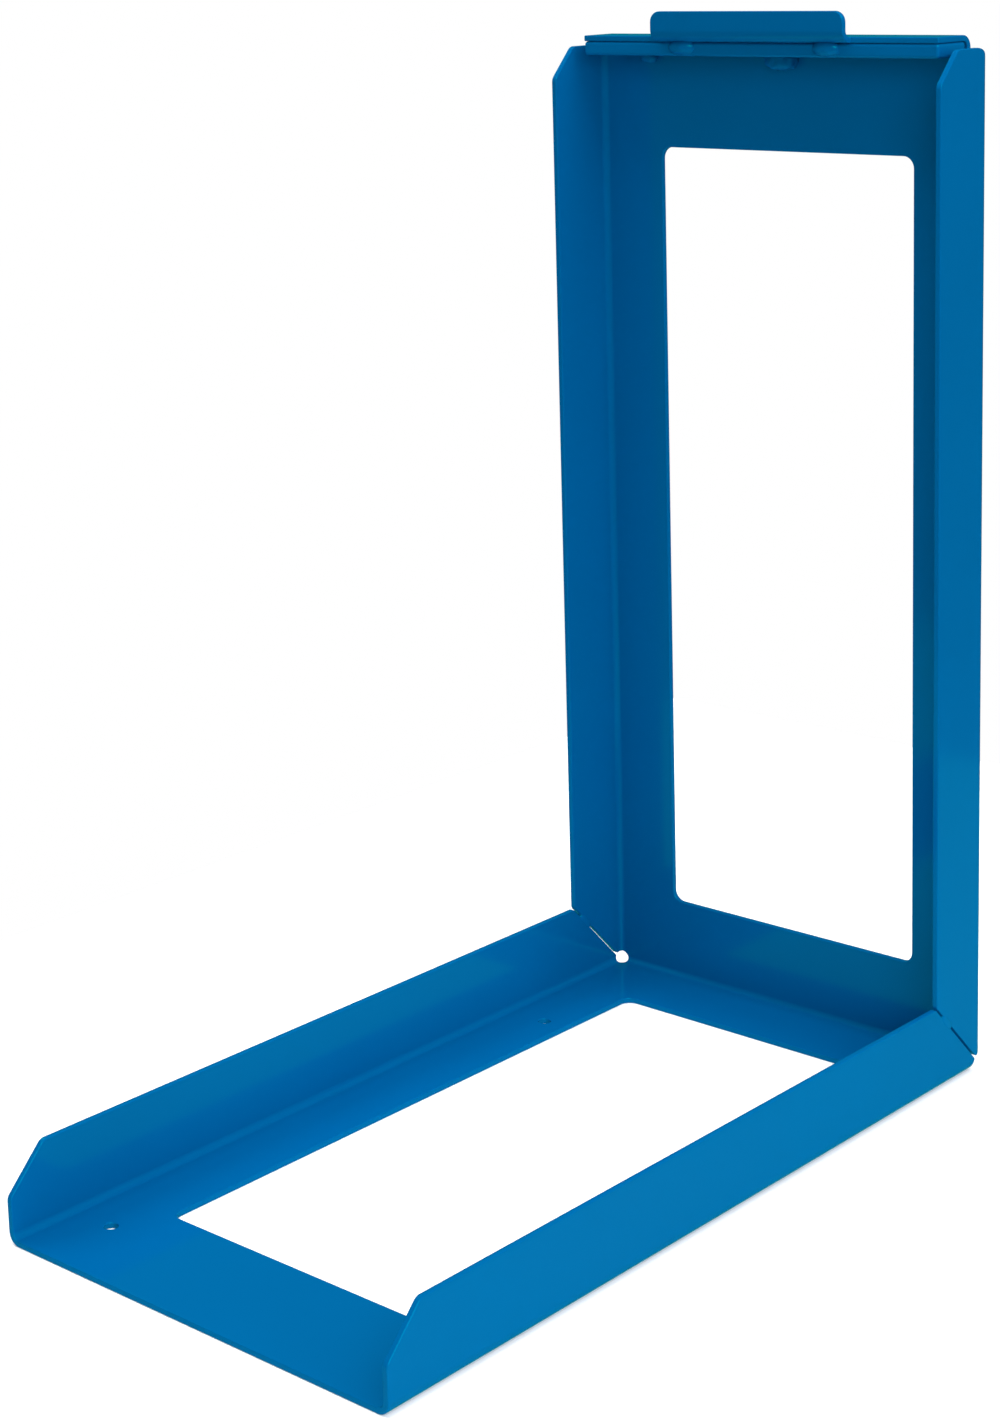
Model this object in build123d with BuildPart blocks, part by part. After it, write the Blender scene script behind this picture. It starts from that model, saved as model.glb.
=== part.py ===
"""Cantilever rack: an L-shaped cradle folded from one steel sheet, with a stiffening bar welded in.

Millimetres, +Z up. The open front faces -Y, and the upright back panel stands at +Y.
The origin is on the floor, under the middle of the base.
"""
import os
from math import atan2, degrees

from build123d import *

os.makedirs("parts", exist_ok=True)

# Sheet and bends
SHEET = 2.5
BEND_INSIDE = 2.8
BEND_OUTSIDE = BEND_INSIDE + SHEET

# Overall size
WIDTH = 200.0                    # over the side flanges
BASE_LENGTH = 370.0              # front edge of the base to the rear face of the back panel
SIDE_HEIGHT = 434.0              # floor to the top edge of the upright side flanges
RAIL_TOP = 438.8                 # floor to the upper face of the top rail
TAB_TOP = 449.4                  # floor to the top edge of the tab
OVERRUN = 20.0                   # how far a cutting block runs past the sheet

# Side flanges
BASE_FLANGE = 37.0               # height of the flanges along the base
BACK_FLANGE = 36.0               # depth of the flanges up the back
FRONT_CUT = (17.4, 17.9)         # corner cut at the front ends, along Y and Z
TOP_CUT = (12.6, 13.4)           # corner cut at the top ends, along Y and Z
CUT_ROUND = 4.0                  # rounding of the flanges' cut corners
TOP_REAR_ROUND = 9.0             # rounding of the upright flanges' top rear corners
MOUTH_GAP = 0.6                  # slot between the two flanges at its mouth
ROOT_GAP = 1.2                   # the same slot at its root
MITRE_ROUND = 2.5                # rounding of the two corners at the mouth of the slot
SLOT_ROOT = 4.0                  # where the slot starts, from the middle of the relief hole
SLOT_REACH = 60.0                # where its cut ends, past the free corner of the flanges
RELIEF_RADIUS = 4.5              # hole that clears the corner where three bends meet
RELIEF_BALL = 4.7                # radius that rounds the hole's inner end
RELIEF_OVERLAP = 1.0             # how far the hole runs into that rounding
RELIEF_INSET = SHEET             # its centre, in from each of the three outer planes
TIP_ROUND = 1.4                  # rounding of the two tips between the slot and the hole

# Windows and screw holes
WINDOW_WIDTH = 131.0
WINDOW_ROUND = 5.0
BASE_WINDOW_FROM_REAR = (37.4, 318.2)
BACK_WINDOW_HEIGHTS = (39.0, 389.2)
SCREW_RADIUS = 2.75
SCREW_SPACING = (154.0, 256.0)
REAR_SCREW_FROM_REAR = 83.0

# Top rail and tab, both part of the folded sheet
RAIL_WIDTH = 182.0
RAIL_DEPTH = 24.0                # rear face of the back panel to the rail's front edge
TAB_WIDTH = 99.0
TAB_DEPTH = 30.0                 # rear face of the back panel to the tab's front face
TAB_CORNER = 4.6

# Stiffening bar under the rail
BAR_WIDTH = 20.0
BAR_HEIGHT = 6.0
BAR_ROUND = 1.3
BAR_SEAM = 0.05                  # seam between the bar and the underside of the rail

# Weld beads
MITRE_WELD = (25.0, 32.6)        # heights of the bead's two ends
MITRE_BEAD_WIDTH = 4.0
MITRE_BEAD_CROWN = 0.3
FRONT_WELD_OFFSET = 37.2
FRONT_WELD_LENGTH = 13.5
FRONT_WELD_OUTLINE = (           # ahead of the bar's front face, above the bar's underside
    (0.0, 0.5),
    (1.8, 1.0),
    (3.2, 3.2),
    (3.8, 7.7),
    (0.0, 7.7),
)
REAR_WELDS = {                   # middle along X, length, leg
    "left": (-70.4, 9.0, 4.6),
    "centre": (1.0, 16.6, 7.2),
}
REAR_WELD_HOLLOW = (0.5, 0.7)    # middle of the bead's face, in legs from the panel and the bar

REAR = BASE_LENGTH / 2
FRONT = -REAR
HALF = WIDTH / 2
RAIL_FRONT = REAR - RAIL_DEPTH
RAIL_UNDER = RAIL_TOP - SHEET
BAR_TOP = RAIL_UNDER - BAR_SEAM
BAR_BOTTOM = BAR_TOP - BAR_HEIGHT

# Mitre slot in side view: a thin wedge from inside the relief hole out past the mouth
RELIEF_CENTRE = Vector(REAR - RELIEF_INSET, RELIEF_INSET)
MOUTH = Vector(REAR - BACK_FLANGE, BASE_FLANGE)
SLOT_ALONG = (MOUTH - RELIEF_CENTRE).normalized()
SLOT_ACROSS = Vector(-SLOT_ALONG.Y, SLOT_ALONG.X)
SLOT_SIDES = (SLOT_ACROSS * (ROOT_GAP / 2), SLOT_ACROSS * (-ROOT_GAP / 2))
MOUTH_SIDES = (SLOT_ACROSS * (MOUTH_GAP / 2), SLOT_ACROSS * (-MOUTH_GAP / 2))
SLOT_CORNERS = [
    RELIEF_CENTRE + SLOT_ALONG * SLOT_ROOT + SLOT_SIDES[0],
    RELIEF_CENTRE + SLOT_ALONG * SLOT_REACH + MOUTH_SIDES[0],
    RELIEF_CENTRE + SLOT_ALONG * SLOT_REACH + MOUTH_SIDES[1],
    RELIEF_CENTRE + SLOT_ALONG * SLOT_ROOT + SLOT_SIDES[1],
]

# Space inside the folds, as a block with the inside bend radius on its edges
with BuildPart() as inside_space:
    with BuildSketch(Plane.XY.offset(SHEET)):
        with Locations((0, (FRONT - OVERRUN + REAR - SHEET) / 2)):
            Rectangle(WIDTH - 2 * SHEET, BASE_LENGTH - SHEET + OVERRUN)
    extrude(amount=SIDE_HEIGHT + OVERRUN)
    floor_edges = inside_space.faces().sort_by(Axis.Z)[0].edges()
    side_floor_edges = floor_edges.filter_by(Axis.Y)
    rear_floor_edge = floor_edges.filter_by(Axis.X).sort_by(Axis.Y)[-1:]
    rear_upright_edges = inside_space.edges().filter_by(Axis.Z).group_by(Axis.Y)[-1]
    fillet(side_floor_edges + rear_floor_edge + rear_upright_edges, BEND_INSIDE)

# Folded frame: base, back, four side flanges, top rail and tab from one sheet
with BuildPart() as folded_frame:
    # Outer faces with their bends, then the space inside them
    with BuildSketch(Plane.XY):
        Rectangle(WIDTH, BASE_LENGTH)
    extrude(amount=SIDE_HEIGHT)
    floor_edges = folded_frame.faces().sort_by(Axis.Z)[0].edges()
    side_floor_edges = floor_edges.filter_by(Axis.Y)
    rear_floor_edge = floor_edges.filter_by(Axis.X).sort_by(Axis.Y)[-1:]
    rear_upright_edges = folded_frame.edges().filter_by(Axis.Z).group_by(Axis.Y)[-1]
    fillet(side_floor_edges + rear_floor_edge + rear_upright_edges, BEND_OUTSIDE)
    add(inside_space.part, mode=Mode.SUBTRACT)

    # Side view of the flanges, with their corner cuts and the mitre slot
    with BuildSketch(Plane.YZ) as side_view:
        with BuildLine():
            Polyline(
                (FRONT, 0),
                (FRONT, BASE_FLANGE - FRONT_CUT[1]),
                (FRONT + FRONT_CUT[0], BASE_FLANGE),
                (REAR - BACK_FLANGE, BASE_FLANGE),
                (REAR - BACK_FLANGE, SIDE_HEIGHT - TOP_CUT[1]),
                (REAR - BACK_FLANGE + TOP_CUT[0], SIDE_HEIGHT),
                (REAR, SIDE_HEIGHT),
                (REAR, 0),
                close=True,
            )
        make_face()
        cut_corners = [
            (FRONT, BASE_FLANGE - FRONT_CUT[1]),
            (FRONT + FRONT_CUT[0], BASE_FLANGE),
            (REAR - BACK_FLANGE, SIDE_HEIGHT - TOP_CUT[1]),
            (REAR - BACK_FLANGE + TOP_CUT[0], SIDE_HEIGHT),
        ]
        for corner in cut_corners:
            fillet(side_view.vertices().sort_by_distance(corner)[0], CUT_ROUND)
        fillet(side_view.vertices().sort_by_distance((REAR, SIDE_HEIGHT))[0], TOP_REAR_ROUND)
        with BuildLine():
            Polyline(*SLOT_CORNERS, close=True)
        make_face(mode=Mode.SUBTRACT)
        for corner in (MOUTH - Vector(MOUTH_GAP, 0), MOUTH + Vector(0, MOUTH_GAP)):
            fillet(side_view.vertices().sort_by_distance(corner)[0], MITRE_ROUND)
    extrude(amount=HALF, both=True, mode=Mode.INTERSECT)

    # Hole where the three bends meet, flared into the slot
    hole_depth = SHEET + RELIEF_OVERLAP
    for face_x, through in ((HALF - hole_depth, hole_depth), (hole_depth - HALF, -hole_depth)):
        with BuildSketch(Plane.YZ.offset(face_x)) as relief_hole:
            with BuildLine():
                Polyline(*SLOT_CORNERS, close=True)
            make_face()
            with Locations(RELIEF_CENTRE):
                Circle(RELIEF_RADIUS)
            for side in SLOT_SIDES:
                neck = RELIEF_CENTRE + SLOT_ALONG * RELIEF_RADIUS + side
                fillet(relief_hole.vertices().sort_by_distance(neck)[0], TIP_ROUND)
        extrude(amount=through, mode=Mode.SUBTRACT)
    for face_x in (HALF - SHEET, SHEET - HALF):
        with Locations((face_x, RELIEF_CENTRE.X, RELIEF_CENTRE.Y)):
            Sphere(RELIEF_BALL, mode=Mode.SUBTRACT)

    # Window and screw holes in the base
    near, far = BASE_WINDOW_FROM_REAR
    with BuildSketch(Plane.XY):
        with Locations((0, REAR - (near + far) / 2)):
            RectangleRounded(WINDOW_WIDTH, far - near, WINDOW_ROUND)
        with Locations((0, REAR - REAR_SCREW_FROM_REAR - SCREW_SPACING[1] / 2)):
            with GridLocations(SCREW_SPACING[0], SCREW_SPACING[1], 2, 2):
                Circle(SCREW_RADIUS)
    extrude(amount=SHEET, mode=Mode.SUBTRACT)

    # Window in the back
    low, high = BACK_WINDOW_HEIGHTS
    with BuildSketch(Plane.XZ.offset(-REAR)):
        with Locations((0, (low + high) / 2)):
            RectangleRounded(WINDOW_WIDTH, high - low, WINDOW_ROUND)
    extrude(amount=SHEET, mode=Mode.SUBTRACT)

    # Top rail, bent forward from the back panel
    with BuildSketch(Plane.YZ) as rail_section:
        with BuildLine():
            Polyline(
                (REAR, SIDE_HEIGHT - CUT_ROUND),
                (REAR, RAIL_TOP),
                (RAIL_FRONT, RAIL_TOP),
                (RAIL_FRONT, RAIL_UNDER),
                (REAR - SHEET, RAIL_UNDER),
                (REAR - SHEET, SIDE_HEIGHT - CUT_ROUND),
                close=True,
            )
        make_face()
        fillet(rail_section.vertices().sort_by_distance((REAR, RAIL_TOP))[0], BEND_OUTSIDE)
        fillet(rail_section.vertices().sort_by_distance((REAR - SHEET, RAIL_UNDER))[0], BEND_INSIDE)
    extrude(amount=RAIL_WIDTH / 2, both=True)

    # Tab, turned up from the middle of the rail
    tab_front = REAR - TAB_DEPTH
    with BuildSketch(Plane.YZ) as tab_section:
        with BuildLine():
            Polyline(
                (RAIL_FRONT + SHEET, RAIL_UNDER),
                (tab_front, RAIL_UNDER),
                (tab_front, TAB_TOP),
                (tab_front + SHEET, TAB_TOP),
                (tab_front + SHEET, RAIL_TOP),
                (RAIL_FRONT + SHEET, RAIL_TOP),
                close=True,
            )
        make_face()
        fillet(tab_section.vertices().sort_by_distance((tab_front, RAIL_UNDER))[0], BEND_OUTSIDE)
        fillet(tab_section.vertices().sort_by_distance((tab_front + SHEET, RAIL_TOP))[0], BEND_INSIDE)
    extrude(amount=TAB_WIDTH / 2, both=True)
    tab_top_face = folded_frame.faces().sort_by(Axis.Z)[-1]
    fillet(tab_top_face.edges().filter_by(Axis.Y), TAB_CORNER)
folded_frame.part.label = "folded_frame"
export_step(folded_frame.part, "parts/folded_frame.step")

# Stiffening bar: flat bar under the rail, flush with its front edge
with BuildPart() as stiffening_bar:
    with BuildSketch(Plane.XY.offset(BAR_BOTTOM)):
        with Locations((0, RAIL_FRONT + BAR_WIDTH / 2)):
            Rectangle(RAIL_WIDTH, BAR_WIDTH)
    extrude(amount=BAR_HEIGHT)
    fillet(stiffening_bar.edges(), BAR_ROUND)
stiffening_bar.part.label = "stiffening_bar"
export_step(stiffening_bar.part, "parts/stiffening_bar.step")

# Mitre welds: the slot filled for part of its length, with a low crown on both faces
weld_start, weld_end = [(height - RELIEF_INSET) / SLOT_ALONG.Y for height in MITRE_WELD]
weld_length = weld_end - weld_start
weld_middle = RELIEF_CENTRE + SLOT_ALONG * ((weld_start + weld_end) / 2)
weld_place = Location((weld_middle.X, weld_middle.Y), degrees(atan2(SLOT_ALONG.Y, SLOT_ALONG.X)))
for side, inner_x in (("left", -HALF + SHEET), ("right", HALF - SHEET)):
    outer_x = HALF if inner_x > 0 else -HALF
    with BuildPart() as mitre_weld:
        with BuildSketch(Plane.YZ.offset(min(inner_x, outer_x))):
            with Locations(weld_place):
                Rectangle(weld_length, MOUTH_GAP)
        extrude(amount=SHEET)
        for face_x, outward in ((min(inner_x, outer_x), -1), (max(inner_x, outer_x), 1)):
            with BuildSketch(Plane.YZ.offset(face_x)):
                with Locations(weld_place):
                    SlotOverall(weld_length, MITRE_BEAD_WIDTH)
            extrude(amount=outward * MITRE_BEAD_CROWN)
    mitre_weld.part.label = f"mitre_weld_{side}"
    export_step(mitre_weld.part, f"parts/mitre_weld_{side}.step")

# Front welds: beads from the underside of the tab's bend down the front of the bar
bend_centre = (REAR - TAB_DEPTH + BEND_OUTSIDE, RAIL_UNDER + BEND_OUTSIDE)
for side, centre_x in (("left", -FRONT_WELD_OFFSET), ("right", FRONT_WELD_OFFSET)):
    with BuildPart() as front_weld:
        with BuildSketch(Plane.YZ.offset(centre_x)):
            with BuildLine():
                Polyline(
                    *[(RAIL_FRONT - ahead, BAR_BOTTOM + up) for ahead, up in FRONT_WELD_OUTLINE],
                    close=True,
                )
            make_face()
            with Locations(bend_centre):
                Circle(BEND_OUTSIDE, mode=Mode.SUBTRACT)
            with Locations((bend_centre[0], RAIL_UNDER)):
                Rectangle(OVERRUN, OVERRUN, align=(Align.MIN, Align.MIN), mode=Mode.SUBTRACT)
        extrude(amount=FRONT_WELD_LENGTH / 2, both=True)
    front_weld.part.label = f"front_weld_{side}"
    export_step(front_weld.part, f"parts/front_weld_{side}.step")

# Rear welds: beads in the corner between the bar's underside and the back panel
out, down = REAR_WELD_HOLLOW
for side, (centre_x, length, leg) in REAR_WELDS.items():
    with BuildPart() as rear_weld:
        with BuildSketch(Plane.YZ.offset(centre_x)):
            with BuildLine():
                Polyline(
                    (REAR - SHEET, BAR_BOTTOM),
                    (REAR - SHEET, BAR_BOTTOM - leg),
                    (REAR - SHEET - leg * out, BAR_BOTTOM - leg * down),
                    (REAR - SHEET - leg, BAR_BOTTOM),
                    close=True,
                )
            make_face()
        extrude(amount=length / 2, both=True)
    rear_weld.part.label = f"rear_weld_{side}"
    export_step(rear_weld.part, f"parts/rear_weld_{side}.step")
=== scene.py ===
# %% [markdown]
# # A folded cradle rack
# The rack is one steel sheet, cut out and folded into an L, with a flat bar and six short weld
# beads added to it. All of it wears one glossy blue powder coat. The metal's real shape is already
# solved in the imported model, so this lesson is about what the paint does to it: it rounds the
# cut edges, softens the weld beads, and gives the flats a faint orange-peel skin.

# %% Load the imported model
import math

import bmesh
import bpy
from mathutils import Matrix, Vector, noise


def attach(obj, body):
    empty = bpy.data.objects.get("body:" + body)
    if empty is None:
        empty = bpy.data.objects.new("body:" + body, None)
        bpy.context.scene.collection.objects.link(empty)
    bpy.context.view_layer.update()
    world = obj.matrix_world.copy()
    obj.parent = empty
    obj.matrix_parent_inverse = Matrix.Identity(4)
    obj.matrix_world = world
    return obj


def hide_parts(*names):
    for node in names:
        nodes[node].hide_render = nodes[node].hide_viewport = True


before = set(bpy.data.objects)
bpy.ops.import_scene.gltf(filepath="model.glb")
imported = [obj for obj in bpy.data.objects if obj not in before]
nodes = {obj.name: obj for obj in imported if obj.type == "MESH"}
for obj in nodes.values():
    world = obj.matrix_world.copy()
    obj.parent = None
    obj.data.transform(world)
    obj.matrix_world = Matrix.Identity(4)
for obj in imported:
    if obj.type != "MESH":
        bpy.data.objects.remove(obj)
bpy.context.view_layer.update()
MM = 0.001
print("nodes", sorted(nodes))

# %% [markdown]
# The camera comes first, because every later choice is judged through it. It is placed by three
# distances from the origin and three turns, as a tripod head would be set. A long lens keeps the
# upright flanges almost parallel. The lens is shifted a little instead of tilted further, which is
# how a tall product is usually framed without bending its verticals.

# %% Camera
SENSOR = 36.0
LENS = 69.6
SHIFT = (0.0198, -0.1621)
NEAREST = 0.05
FARTHEST = 100.0
CAMERA_PLACE = (0.6933, -0.7812, 0.4869)
CAMERA_TURNS = (78.62, 1.67, 42.01)
camera_data = bpy.data.cameras.new("camera")
camera_data.sensor_width = SENSOR
camera_data.lens = LENS
camera_data.shift_x = SHIFT[0]
camera_data.shift_y = SHIFT[1]
camera_data.clip_start = NEAREST
camera_data.clip_end = FARTHEST
camera = bpy.data.objects.new("camera", camera_data)
camera.location = CAMERA_PLACE
camera.rotation_euler = [math.radians(turn) for turn in CAMERA_TURNS]
bpy.context.scene.collection.objects.link(camera)
bpy.context.scene.camera = camera
print("camera at", tuple(round(v, 3) for v in camera.location))

# %% [markdown]
# Every new piece goes through one helper. It turns a bmesh into an object at the origin, unturned
# and unscaled, so that the piece's place is in its mesh and patterns on Object coordinates stay
# put. It then ties the piece to the rack's body and hides the CAD nodes it stands for.

# %% Helper that finishes a piece
def finish_piece(mesh_data, name, material_slot, *replaced):
    """Makes an object from a bmesh, rides it on the rack and hides the CAD nodes it replaces."""
    mesh = bpy.data.meshes.new(name)
    bmesh.ops.recalc_face_normals(mesh_data, faces=mesh_data.faces)
    for face in mesh_data.faces:
        face.smooth = True
    mesh_data.to_mesh(mesh)
    mesh_data.free()
    piece = bpy.data.objects.new(name, mesh)
    bpy.context.scene.collection.objects.link(piece)
    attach(piece, "root")
    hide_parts(*replaced)
    print(name, "faces", len(mesh.polygons))
    return piece


# %% [markdown]
# A laser cuts steel with edges as sharp as a knife, but powder that melts in the oven pulls into a
# round lip over every cut edge. That lip is what catches the light along the outline of the real
# thing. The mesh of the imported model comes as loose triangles, so a copy is merged first. Flat
# areas are then dissolved into single faces, and only the outward edges sharper than a bend's
# facets are bevelled. The bevel is done in mesh code, not with a modifier, because the choice of
# edges needs the angle and the side of each one. The relief hole's mouth stays as it is, because
# its facets are smaller than the bevel.

# %% Helper that rounds the cut edges of a sheet metal mesh
COAT_ROUND = 0.45 * MM
ROUND_STEPS = 3
SHARP = math.radians(32.0)
FLAT = math.radians(1.0)
RELIEF_HOLE = Vector((0.0, 182.5, 2.5)) * MM
RELIEF_REACH = 7.0 * MM


def by_relief_hole(edge):
    """Whether an edge lies round the relief hole, where three bends crowd its facets."""
    offsets = [vertex.co - RELIEF_HOLE for vertex in edge.verts]
    return all(math.hypot(offset.y, offset.z) < RELIEF_REACH for offset in offsets)


def coated_copy(node, width, weld_distance):
    """A merged copy of a CAD node with its sharp outward edges rounded to the given width."""
    metal = bmesh.new()
    metal.from_mesh(nodes[node].data)
    bmesh.ops.remove_doubles(metal, verts=metal.verts, dist=weld_distance)
    bmesh.ops.dissolve_limit(metal, angle_limit=FLAT, verts=metal.verts, edges=metal.edges)
    cut_edges = [
        edge
        for edge in metal.edges
        if edge.is_manifold and edge.is_convex and edge.calc_face_angle() > SHARP
    ]
    cut_edges = [edge for edge in cut_edges if not by_relief_hole(edge)]
    bmesh.ops.bevel(
        metal,
        geom=cut_edges,
        offset=width,
        offset_type="OFFSET",
        affect="EDGES",
        segments=ROUND_STEPS,
        profile=0.5,
        clamp_overlap=False,
        material=-1,
    )
    open_edges = sum(not edge.is_manifold for edge in metal.edges)
    print(node, "cut edges", len(cut_edges), "open edges", open_edges)
    return metal


# %% [markdown]
# The whole folded sheet goes through that helper in one piece. Its new face normals would shade the
# flats as if they bulged near each rounded edge, so a modifier weights the normals by face area.

# %% Coated frame
WELD_DISTANCE = 0.001 * MM
coated_frame = finish_piece(
    coated_copy("folded_frame", COAT_ROUND, WELD_DISTANCE),
    "coated_frame",
    "blue_powder_coat",
    "folded_frame",
)
flat_shading = coated_frame.modifiers.new("keep the flats flat", "WEIGHTED_NORMAL")
flat_shading.keep_sharp = True

# %% [markdown]
# A weld bead is a puddle that froze: fat in the middle, drawn thin at its ends, and joined to the
# steel by a smooth toe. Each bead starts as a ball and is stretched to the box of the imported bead.
# Noise then draws its skin in here and there, never out, so it is as uneven as a bead laid by hand
# and stays inside its box. One helper that makes such soft lumps does for all the beads.

# %% Helper that makes one weld bead
LUMP_SIZE = 2.6 * MM
BALL_STEPS = 5


def bead_box(node):
    """The two opposite corners of a packed bead."""
    places = [vertex.co for vertex in nodes[node].data.vertices]
    low = Vector([min(place[axis] for place in places) for axis in range(3)])
    high = Vector([max(place[axis] for place in places) for axis in range(3)])
    return low, high


def bead_ball(middle, half, squareness, unevenness, seed):
    """A ball stretched over a box: a squareness above 1 fills the corners of the box more.

    The middle and the seed choose the place in the noise. The ball itself stays at the origin.
    """
    ball = bmesh.new()
    bmesh.ops.create_icosphere(ball, subdivisions=BALL_STEPS, radius=1.0)
    power = 2.0 * squareness
    for vertex in ball.verts:
        reach = sum(abs(side) ** power for side in vertex.co) ** (1.0 / power)
        place = vertex.co / reach * half
        lump = 0.5 + 0.5 * noise.noise((middle + place) / LUMP_SIZE + seed)
        vertex.co = place * (1.0 - unevenness * lump)
    return ball


# %% [markdown]
# Two fat beads hold the bar to the front of the tab. Each is nearly as tall as the bar's face, and
# fills the crease between the bar and the bend of the tab. The crown is squeezed towards the bar
# near the rim, by raising its height to a power, so the bead runs out in a thin toe.

# %% Front weld beads
TOE = 1.6
FRONT_BURIED = 1.5 * MM
FRONT_SQUARENESS = 1.15
CROWN_SWELL = 0.1
SWELLS_ALONG = 1.8
SWELLS_UP = 1.2
FRONT_SEED_STEP = 5.0
UNIT_BOX = Vector((1.0, 1.0, 1.0))
NO_SEED = Vector((0.0, 0.0, 0.0))
bead_pieces = []
for order, node in enumerate(("front_weld_left", "front_weld_right")):
    low, high = bead_box(node)
    face = Vector(((low.x + high.x) / 2, high.y, (low.z + high.z) / 2))
    half = Vector(((high.x - low.x) / 2, high.y - low.y, (high.z - low.z) / 2))
    bead = bead_ball(face, UNIT_BOX, FRONT_SQUARENESS, 0.0, NO_SEED)
    for vertex in bead.verts:
        across, out, up = vertex.co
        spot = Vector((across * SWELLS_ALONG, up * SWELLS_UP, order * FRONT_SEED_STEP))
        swell = 1.0 - CROWN_SWELL + CROWN_SWELL * noise.noise(spot)
        crown = min(abs(out), 1.0) ** TOE * swell
        depth = -crown * half.y if out < 0 else crown * FRONT_BURIED
        vertex.co = face + Vector((across * half.x, depth, up * half.z))
    bead_pieces.append(finish_piece(bead, "coated_" + node, "weld_powder_coat", node))

# %% [markdown]
# Two more beads sit under the bar, where it meets the back panel. One is a small tack at the left,
# and one is longer, in the middle. Half of each ball is buried in the steel above and behind it.

# %% Rear weld beads
REAR_BEADS = (("rear_weld_left", 1.8), ("rear_weld_centre", 2.6))
REAR_SQUARENESS = 1.2
REAR_UNEVENNESS = 0.16
for order, (node, sunk) in enumerate(REAR_BEADS):
    low, high = bead_box(node)
    high = high + Vector((0.0, sunk, sunk)) * MM
    half = (high - low) / 2
    middle = (high + low) / 2
    seed = Vector((0.0, order * 7.0, 3.0))
    bead = bead_ball(middle, half, REAR_SQUARENESS, REAR_UNEVENNESS, seed)
    bmesh.ops.translate(bead, verts=bead.verts, vec=middle)
    bead_pieces.append(finish_piece(bead, "coated_" + node, "weld_powder_coat", node))

# %% [markdown]
# The mitre beads lie in the two slanting slots between the flanges, almost flush with the sheet on
# both sides. Each ball is made square enough to close the slot over most of its length, then turned
# to the slant of the slot.

# %% Mitre weld beads
SLANT = math.radians(44.2)
BEAD_LENGTH = 10.4 * MM
BEAD_WIDTH = 3.9 * MM
MITRE_SQUARENESS = 1.9
MITRE_UNEVENNESS = 0.05
for order, node in enumerate(("mitre_weld_left", "mitre_weld_right")):
    low, high = bead_box(node)
    middle = (low + high) / 2
    half = Vector((high.x - low.x, BEAD_WIDTH, BEAD_LENGTH)) / 2
    seed = Vector((order * 4.0, 0.0, 9.0))
    bead = bead_ball(middle, half, MITRE_SQUARENESS, MITRE_UNEVENNESS, seed)
    turn = Matrix.Rotation(SLANT, 3, "X")
    bmesh.ops.rotate(bead, verts=bead.verts, cent=(0, 0, 0), matrix=turn)
    bmesh.ops.translate(bead, verts=bead.verts, vec=middle)
    bead_pieces.append(finish_piece(bead, "coated_" + node, "weld_powder_coat", node))

# %% [markdown]
# Shader maths is easier to read as arithmetic than as a list of nodes. The class below wraps one
# socket, and each Python operator on it adds the Math node that it stands for. The reflected forms
# let a plain number come first, as in 1 - mask. Any other node comes from the method node, which
# sets the node's own settings first and then its sockets.

# %% Class that writes shader maths as Python
class Wire:
    """One output socket in a material's node tree."""

    def __init__(self, tree, socket=None):
        self.tree = tree
        self.socket = socket

    def node(self, kind, settings=None, output=0, **sockets):
        """Adds a node, sets its settings, then its sockets, and returns one of its outputs."""
        made = self.tree.nodes.new(kind)
        for name, value in (settings or {}).items():
            setattr(made, name, value)
        for name, value in sockets.items():
            key = int(name[1:]) if name[1:].isdigit() else name.replace("_", " ")
            if isinstance(value, Wire):
                self.tree.links.new(value.socket, made.inputs[key])
            else:
                made.inputs[key].default_value = value
        return Wire(self.tree, made.outputs[output] if made.outputs else None)

    def maths(self, operation, first, second):
        return self.node("ShaderNodeMath", {"operation": operation}, i0=first, i1=second)

    def __add__(self, other):
        return self.maths("ADD", self, other)

    def __radd__(self, other):
        return self.maths("ADD", other, self)

    def __sub__(self, other):
        return self.maths("SUBTRACT", self, other)

    def __rsub__(self, other):
        return self.maths("SUBTRACT", other, self)

    def __mul__(self, other):
        return self.maths("MULTIPLY", self, other)

    def __rmul__(self, other):
        return self.maths("MULTIPLY", other, self)


# %% [markdown]
# Powder coat is a pigment in a clear resin. Dust-fine powder is sprayed on, and it melts and flows
# in the oven, but it never flows quite flat: its skin keeps low swells a couple of millimetres
# wide, the orange peel. Three noises make the finish. A broad one drifts the colour a few percent,
# as the film's thickness does. A middle one is the orange peel, in the bump. A fine one varies the
# gloss. The highlight is tinted towards the paint, which keeps the blue deep where it shines.

# %% Powder coat finish
DRIFT_SCALE = 14.0
SPECK_SCALE = 2600.0
SWELL_SCALE = 420.0
SPECK_IN_SHADE = 0.15
SPECK_IN_SKIN = 0.08
SPECK_IN_GLOSS = 0.06
DRIFT_IN_GLOSS = 0.08


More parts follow.
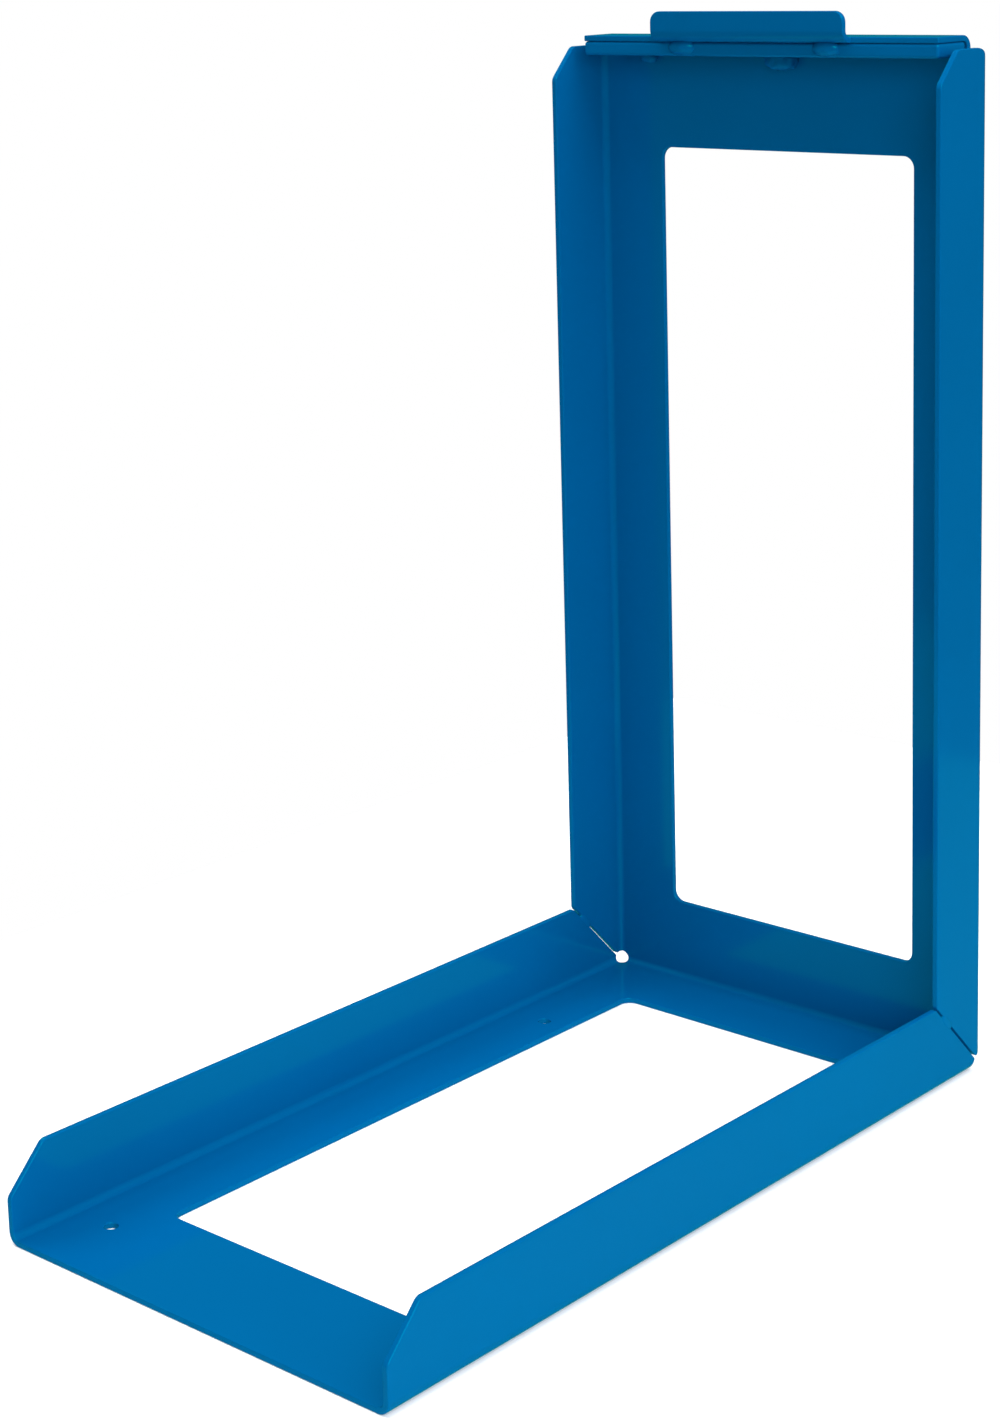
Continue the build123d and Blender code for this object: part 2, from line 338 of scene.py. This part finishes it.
def powder_coat(name, thin, full, roughness, peel):
    """A glossy powder coat that drifts between two shades."""
    material = bpy.data.materials.new(name)
    material.use_nodes = True
    tree = material.node_tree
    tree.nodes.clear()
    wire = Wire(tree)
    place = wire.node("ShaderNodeTexCoord", output="Object")
    drift = wire.node("ShaderNodeTexNoise", Vector=place, Scale=DRIFT_SCALE, Detail=3.0, Roughness=0.5)
    speck = wire.node("ShaderNodeTexNoise", Vector=place, Scale=SPECK_SCALE, Detail=1.0, Roughness=0.5)
    swell = wire.node("ShaderNodeTexNoise", Vector=place, Scale=SWELL_SCALE, Detail=2.0, Roughness=0.45)
    shade = wire.node(
        "ShaderNodeMix",
        {"data_type": "RGBA"},
        output=2,
        i0=drift * (1.0 - SPECK_IN_SHADE) + speck * SPECK_IN_SHADE,
        i6=(*thin, 1.0),
        i7=(*full, 1.0),
    )
    height = swell + speck * SPECK_IN_SKIN
    skin = wire.node("ShaderNodeBump", Height=height, Strength=1.0, Distance=peel)
    gloss = roughness + (speck - 0.5) * SPECK_IN_GLOSS + (drift - 0.5) * DRIFT_IN_GLOSS
    coat = wire.node(
        "ShaderNodeBsdfPrincipled",
        Base_Color=shade,
        Roughness=gloss,
        IOR=1.5,
        Specular_IOR_Level=0.8,
        Specular_Tint=(0.0, 1.0, 1.0, 1.0),
        Normal=skin,
    )
    wire.node("ShaderNodeOutputMaterial", Surface=coat)
    print("finish", name, "nodes", len(tree.nodes))
    return material


frame_finish = powder_coat(
    "blue powder coat",
    thin=(0.0, 0.096, 0.280),
    full=(0.0, 0.086, 0.254),
    roughness=0.10,
    peel=0.012 * MM,
)
coated_frame.data.materials.append(frame_finish)
bar_finish = powder_coat(
    "bar powder coat",
    thin=(0.0, 0.100, 0.290),
    full=(0.0, 0.090, 0.264),
    roughness=0.11,
    peel=0.012 * MM,
)
bead_finish = powder_coat(
    "weld powder coat",
    thin=(0.0, 0.098, 0.284),
    full=(0.0, 0.088, 0.258),
    roughness=0.10,
    peel=0.010 * MM,
)
for bead in bead_pieces:
    bead.data.materials.append(bead_finish)
bar = nodes["stiffening_bar"]
bar.data.materials.clear()
bar.data.materials.append(bar_finish)

# %% [markdown]
# The rack stands on a plain pale table top. Round it, the world is white to the camera, so the
# picture has a clean background from any side. A glossy coat would mirror all that white and turn
# chalky, so reflections get a room of their own. The Light Path node tells which kind of ray has
# left the rack. A glossy ray meets a cool, dim room with two soft windows in it, and a cool table.
# The windows are drawn in the world by their direction, as a cone with a soft rim. Each row of the
# table below holds a name, a direction, half the cone's angle in degrees, and a strength.

# %% Table top and world
TABLE_X = (-0.36, 0.36)
TABLE_Y = (-0.46, 0.56)
TABLE_COLOUR = (0.95, 0.95, 0.95, 1.0)
TABLE_ROUGHNESS = 0.9
TABLE_GLOW = 0.1
TABLE_MIRROR = 0.55
CAMERA_WHITE = 1.0
SOFT_FILL = 0.2
DIM_ROOM = 0.25
COOL = (0.02, 0.72, 0.70, 1.0)
WHITE = (1.0, 1.0, 1.0, 1.0)
WINDOWS = (
    ("right front window", (0.62, -0.50, 0.60), 24.0, 6.0),
    ("left window", (-0.85, 0.20, 0.50), 20.0, 2.5),
)
WINDOW_RIM = 0.06


def flat_mesh(name, x_range, y_range):
    """A level rectangle at the origin's height."""
    flat = bmesh.new()
    bmesh.ops.create_grid(flat, x_segments=1, y_segments=1, size=0.5)
    spans = (x_range[1] - x_range[0], y_range[1] - y_range[0], 1)
    bmesh.ops.scale(flat, verts=flat.verts, vec=spans)
    bmesh.ops.translate(flat, verts=flat.verts, vec=(sum(x_range) / 2, sum(y_range) / 2, 0))
    mesh = bpy.data.meshes.new(name)
    flat.to_mesh(mesh)
    flat.free()
    piece = bpy.data.objects.new(name, mesh)
    bpy.context.scene.collection.objects.link(piece)
    return piece


table = flat_mesh("table top", TABLE_X, TABLE_Y)
pale = bpy.data.materials.new("pale table top")
pale.use_nodes = True
pale.node_tree.nodes.clear()
top = Wire(pale.node_tree)
matt = top.node(
    "ShaderNodeBsdfPrincipled",
    Base_Color=TABLE_COLOUR,
    Roughness=TABLE_ROUGHNESS,
    Emission_Color=WHITE,
    Emission_Strength=TABLE_GLOW,
)
mirrored_top = top.node("ShaderNodeEmission", Color=COOL, Strength=TABLE_MIRROR)
glossy_ray = top.node("ShaderNodeLightPath", output="Is Glossy Ray")
top.node(
    "ShaderNodeOutputMaterial",
    Surface=top.node("ShaderNodeMixShader", i0=glossy_ray, i1=matt, i2=mirrored_top),
)
table.data.materials.append(pale)

world = bpy.data.worlds.new("studio")
world.use_nodes = True
world.node_tree.nodes.clear()
air = Wire(world.node_tree)
seen = air.node("ShaderNodeLightPath", output="Is Camera Ray")
glossy_ray = air.node("ShaderNodeLightPath", output="Is Glossy Ray")
heading = air.node("ShaderNodeTexCoord", output="Generated")
room = DIM_ROOM
for name, towards, half_angle, strength in WINDOWS:
    aim = tuple(Vector(towards).normalized())
    facing = air.node(
        "ShaderNodeVectorMath", {"operation": "DOT_PRODUCT"}, output="Value", i0=heading, i1=aim
    )
    rim = math.cos(math.radians(half_angle))
    inside = air.node("ShaderNodeMapRange", Value=facing, From_Min=rim, From_Max=rim + WINDOW_RIM)
    room = room + inside * strength
white_air = air.node(
    "ShaderNodeBackground", Color=WHITE, Strength=seen * CAMERA_WHITE + (1 - seen) * SOFT_FILL
)
cool_air = air.node("ShaderNodeBackground", Color=COOL, Strength=room)
air.node(
    "ShaderNodeOutputWorld",
    Surface=air.node("ShaderNodeMixShader", i0=glossy_ray, i1=white_air, i2=cool_air),
)
bpy.context.scene.world = world
bpy.context.scene.view_settings.view_transform = "Standard"
print("windows", [row[0] for row in WINDOWS])

# %% [markdown]
# Soft boxes model the form. Each is a square area light turned to face the middle of the rack, and
# hidden from the camera and from reflections, because the world's windows stand in for it there.
# Each row holds a name, a place, a side in metres and a power in watts.

# %% Soft boxes
MIDDLE = Vector((0.0, 0.0, 0.2))
SOFT_BOXES = (
    ("right", (1.8, 0.0, 0.8), 1.0, 14.0),
    ("right front", (1.4, -1.3, 0.9), 1.0, 21.0),
    ("top", (0.0, 0.0, 2.0), 1.2, 24.0),
    ("top rear", (0.0, 1.4, 1.6), 1.0, 4.0),
    ("top right", (1.2, 0.0, 1.6), 1.0, 14.0),
    ("top left", (-1.2, 0.0, 1.6), 1.0, 21.0),
)
for name, place, size, power in SOFT_BOXES:
    light = bpy.data.lights.new(name, "AREA")
    light.shape = "SQUARE"
    light.size = size
    light.energy = power
    lamp = bpy.data.objects.new(name, light)
    lamp.location = place
    lamp.rotation_euler = (MIDDLE - Vector(place)).to_track_quat("-Z", "Y").to_euler()
    lamp.visible_camera = False
    lamp.visible_glossy = False
    bpy.context.scene.collection.objects.link(lamp)
print("soft boxes", len(SOFT_BOXES))
